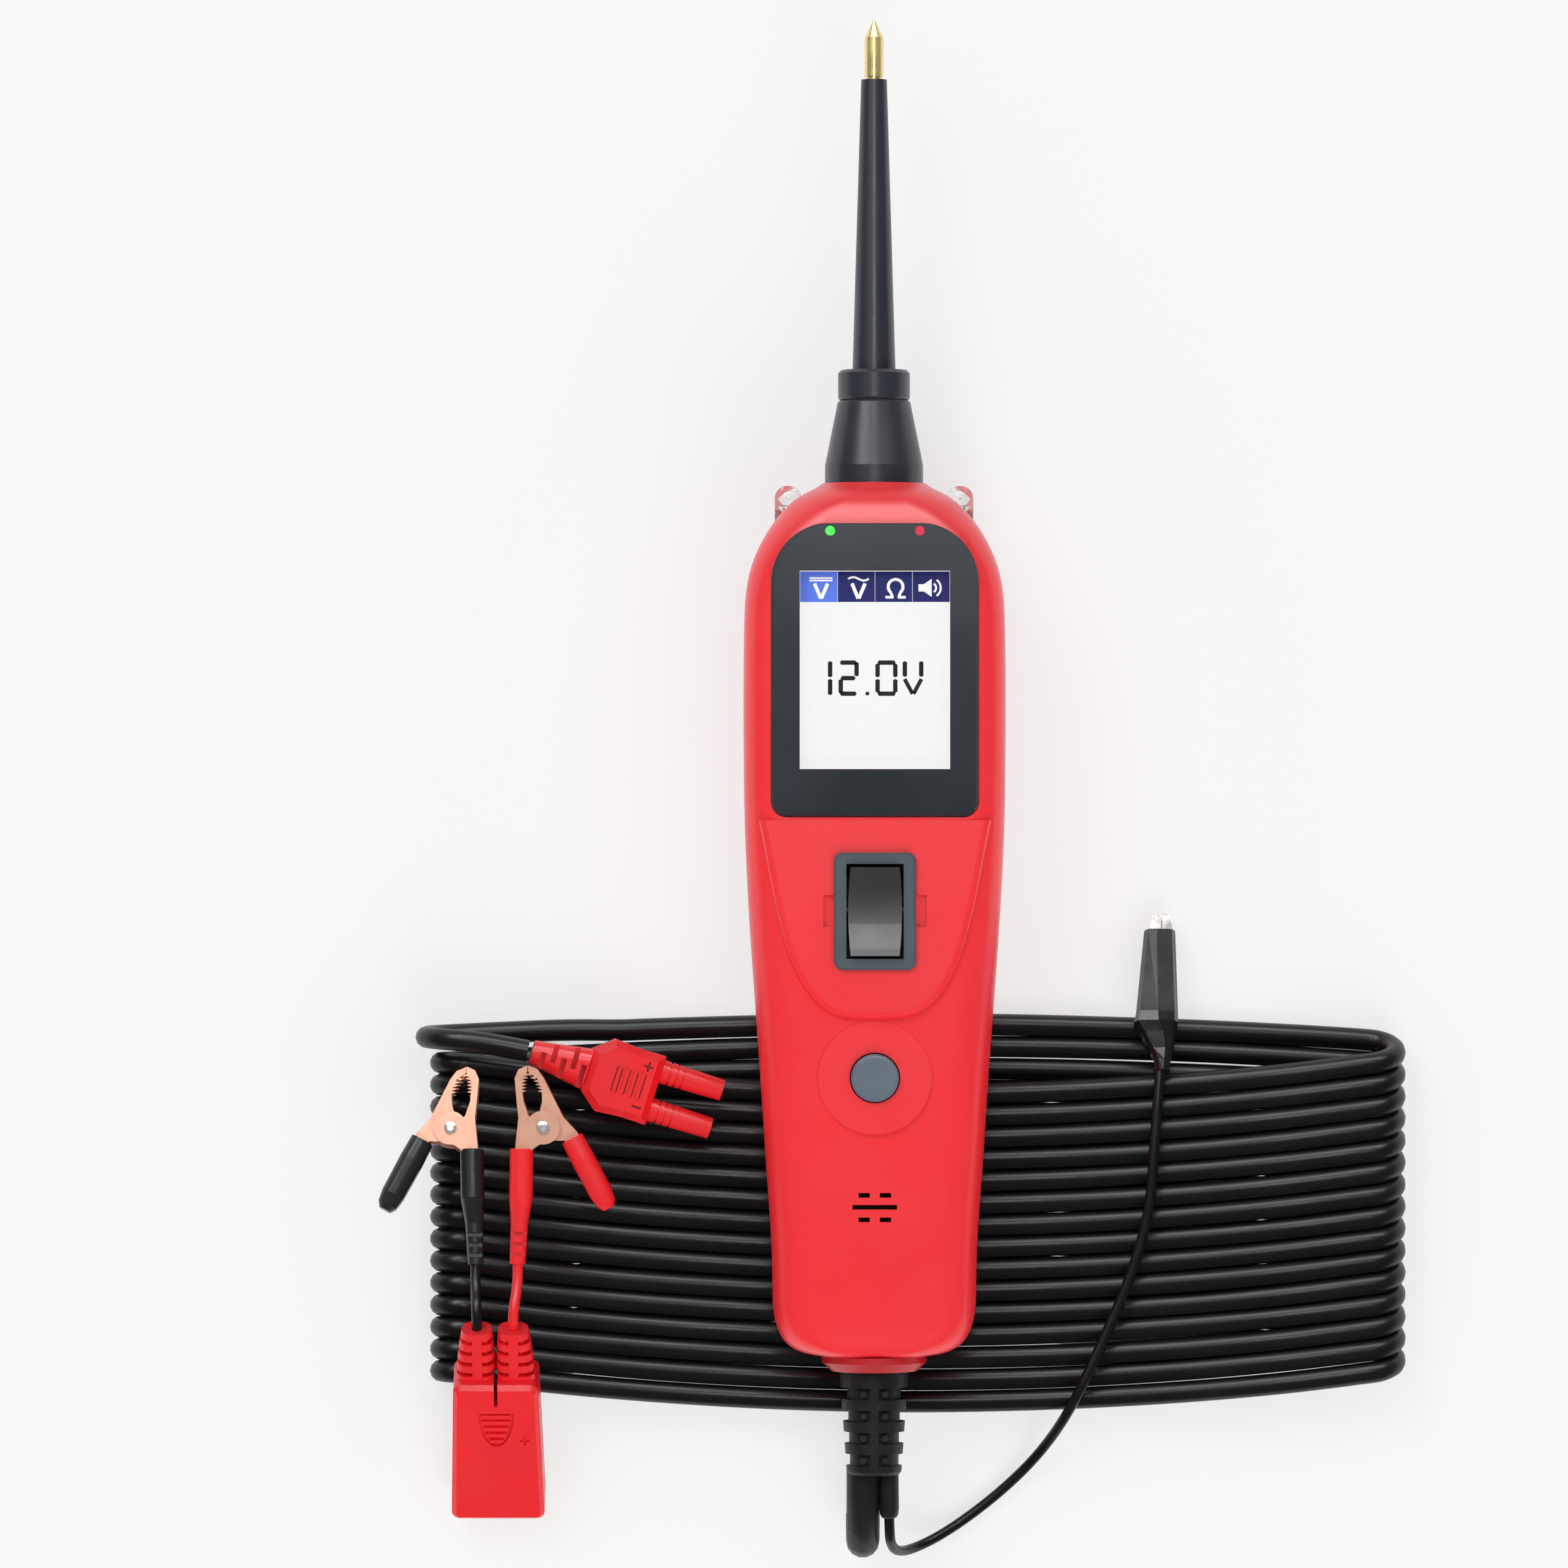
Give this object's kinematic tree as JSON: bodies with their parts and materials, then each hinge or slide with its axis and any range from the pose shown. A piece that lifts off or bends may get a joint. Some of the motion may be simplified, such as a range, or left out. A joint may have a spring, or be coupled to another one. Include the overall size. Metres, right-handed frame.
{
  "type": "circuit test light",
  "caption": "Hand-held circuit tester with a long insulated probe tip, colour display, rocker, coiled supply lead, ground lead and an unplugged battery clip adapter.",
  "frame": {"origin": "on the flat back pad that the tester lies on, below the middle of its length from tip to boot", "axes": "+Y along the tester towards the tip, +Z out of the display and buttons, +X to the right seen from the front"},
  "size_m": [0.1909, 0.2851, 0.04],
  "materials": {
    "red_shell": "satin moulded ABS",
    "dark_red": "satin",
    "bezel": "glossy",
    "window": "clear",
    "display": "colour display",
    "inner_plastic": "matte",
    "board": "solder resist",
    "grey_blue": "matte",
    "paddle": "satin",
    "button_grey": "satin",
    "black_plastic": "satin",
    "brass": "bright",
    "lamp_clear": "clear",
    "green_light": "clear tinted",
    "red_light": "clear tinted",
    "steel": "nickel plated",
    "copper": "copper plated",
    "black_rubber": "glossy PVC",
    "red_rubber": "satin PVC"
  },
  "bodies": {
    "tester": {"adapter_wire_black": "black_rubber", "adapter_wire_red": "red_rubber", "back_shell": "red_shell", "black_clip_boot": "black_rubber", "black_clip_jaw_fixed": "copper", "black_clip_rivet": "steel", "black_clip_spring": "steel", "block_contacts": "brass", "button_switch": "inner_plastic", "cable_coil": "black_rubber", "case_screws": "steel", "circuit_breaker": "inner_plastic", "display_frame": "inner_plastic", "display_panel": "display", "flashlight_led_left": "lamp_clear", "flashlight_led_right": "lamp_clear", "front_shell": "red_shell", "ground_boot": "black_rubber", "ground_jaw_fixed": "steel", "ground_lead": "black_rubber", "ground_rivet": "steel", "ground_sleeve": "black_rubber", "ground_spring": "steel", "indicator_green": "green_light", "indicator_red": "red_light", "main_board": "board", "nose_cone": "black_plastic", "plug_contacts": "brass", "red_clip_boot": "red_rubber", "red_clip_jaw_fixed": "copper", "red_clip_rivet": "steel", "red_clip_spring": "steel", "rocker_frame": "grey_blue", "rocker_terminals": "brass", "screen_bezel": "bezel", "screen_window": "window", "socket_block": "red_rubber", "speaker": "inner_plastic", "strain_relief": "black_rubber", "supply_cable": "black_rubber", "supply_cable_end": "black_rubber", "supply_plug": "red_rubber", "supply_sleeve": "black_rubber", "tail_ring": "dark_red", "tip_socket": "brass"},
    "rocker": {"rocker_paddle": "paddle"},
    "mode_key": {"mode_button": "button_grey"},
    "probe": {"probe_sleeve": "black_plastic", "probe_tip": "brass"},
    "black_lever": {"black_clip_jaw_moving": "copper", "black_clip_lever_boot": "black_rubber"},
    "red_lever": {"red_clip_jaw_moving": "copper", "red_clip_lever_boot": "red_rubber"},
    "ground_lever": {"ground_jaw_moving": "steel", "ground_lever_boot": "black_rubber"}
  },
  "joints": [
    {"name": "rocker_tilt", "type": "hinge", "parent": "tester", "child": "rocker", "pos_m": [0, -0.03015, 0.033], "axis": [1, 0, 0], "range_deg": [-5, 5], "stiffness_Nm_per_rad": 0.15},
    {"name": "mode_press", "type": "slide", "parent": "tester", "child": "mode_key", "axis": [0, 0, -1], "range_m": [0, 0.0008], "stiffness_N_per_m": 1500},
    {"name": "tip_pull", "type": "slide", "parent": "tester", "child": "probe", "axis": [0, 1, 0], "range_m": [0, 0.012]},
    {"name": "black_clip_open", "type": "hinge", "parent": "tester", "child": "black_lever", "pos_m": [-0.0783, -0.0709, 0.0184], "axis": [0, 0.165, 0.9863], "range_deg": [0, 25], "stiffness_Nm_per_rad": 0.25},
    {"name": "red_clip_open", "type": "hinge", "parent": "tester", "child": "red_lever", "pos_m": [-0.06105, -0.0702, 0.024], "axis": [0, -0.0262, -0.9997], "range_deg": [0, 25], "stiffness_Nm_per_rad": 0.25},
    {"name": "ground_clip_open", "type": "hinge", "parent": "tester", "child": "ground_lever", "pos_m": [0.0538, -0.0436, 0.006], "axis": [0, 0.2924, 0.9563], "range_deg": [0, 16], "stiffness_Nm_per_rad": 0.15}
  ]
}
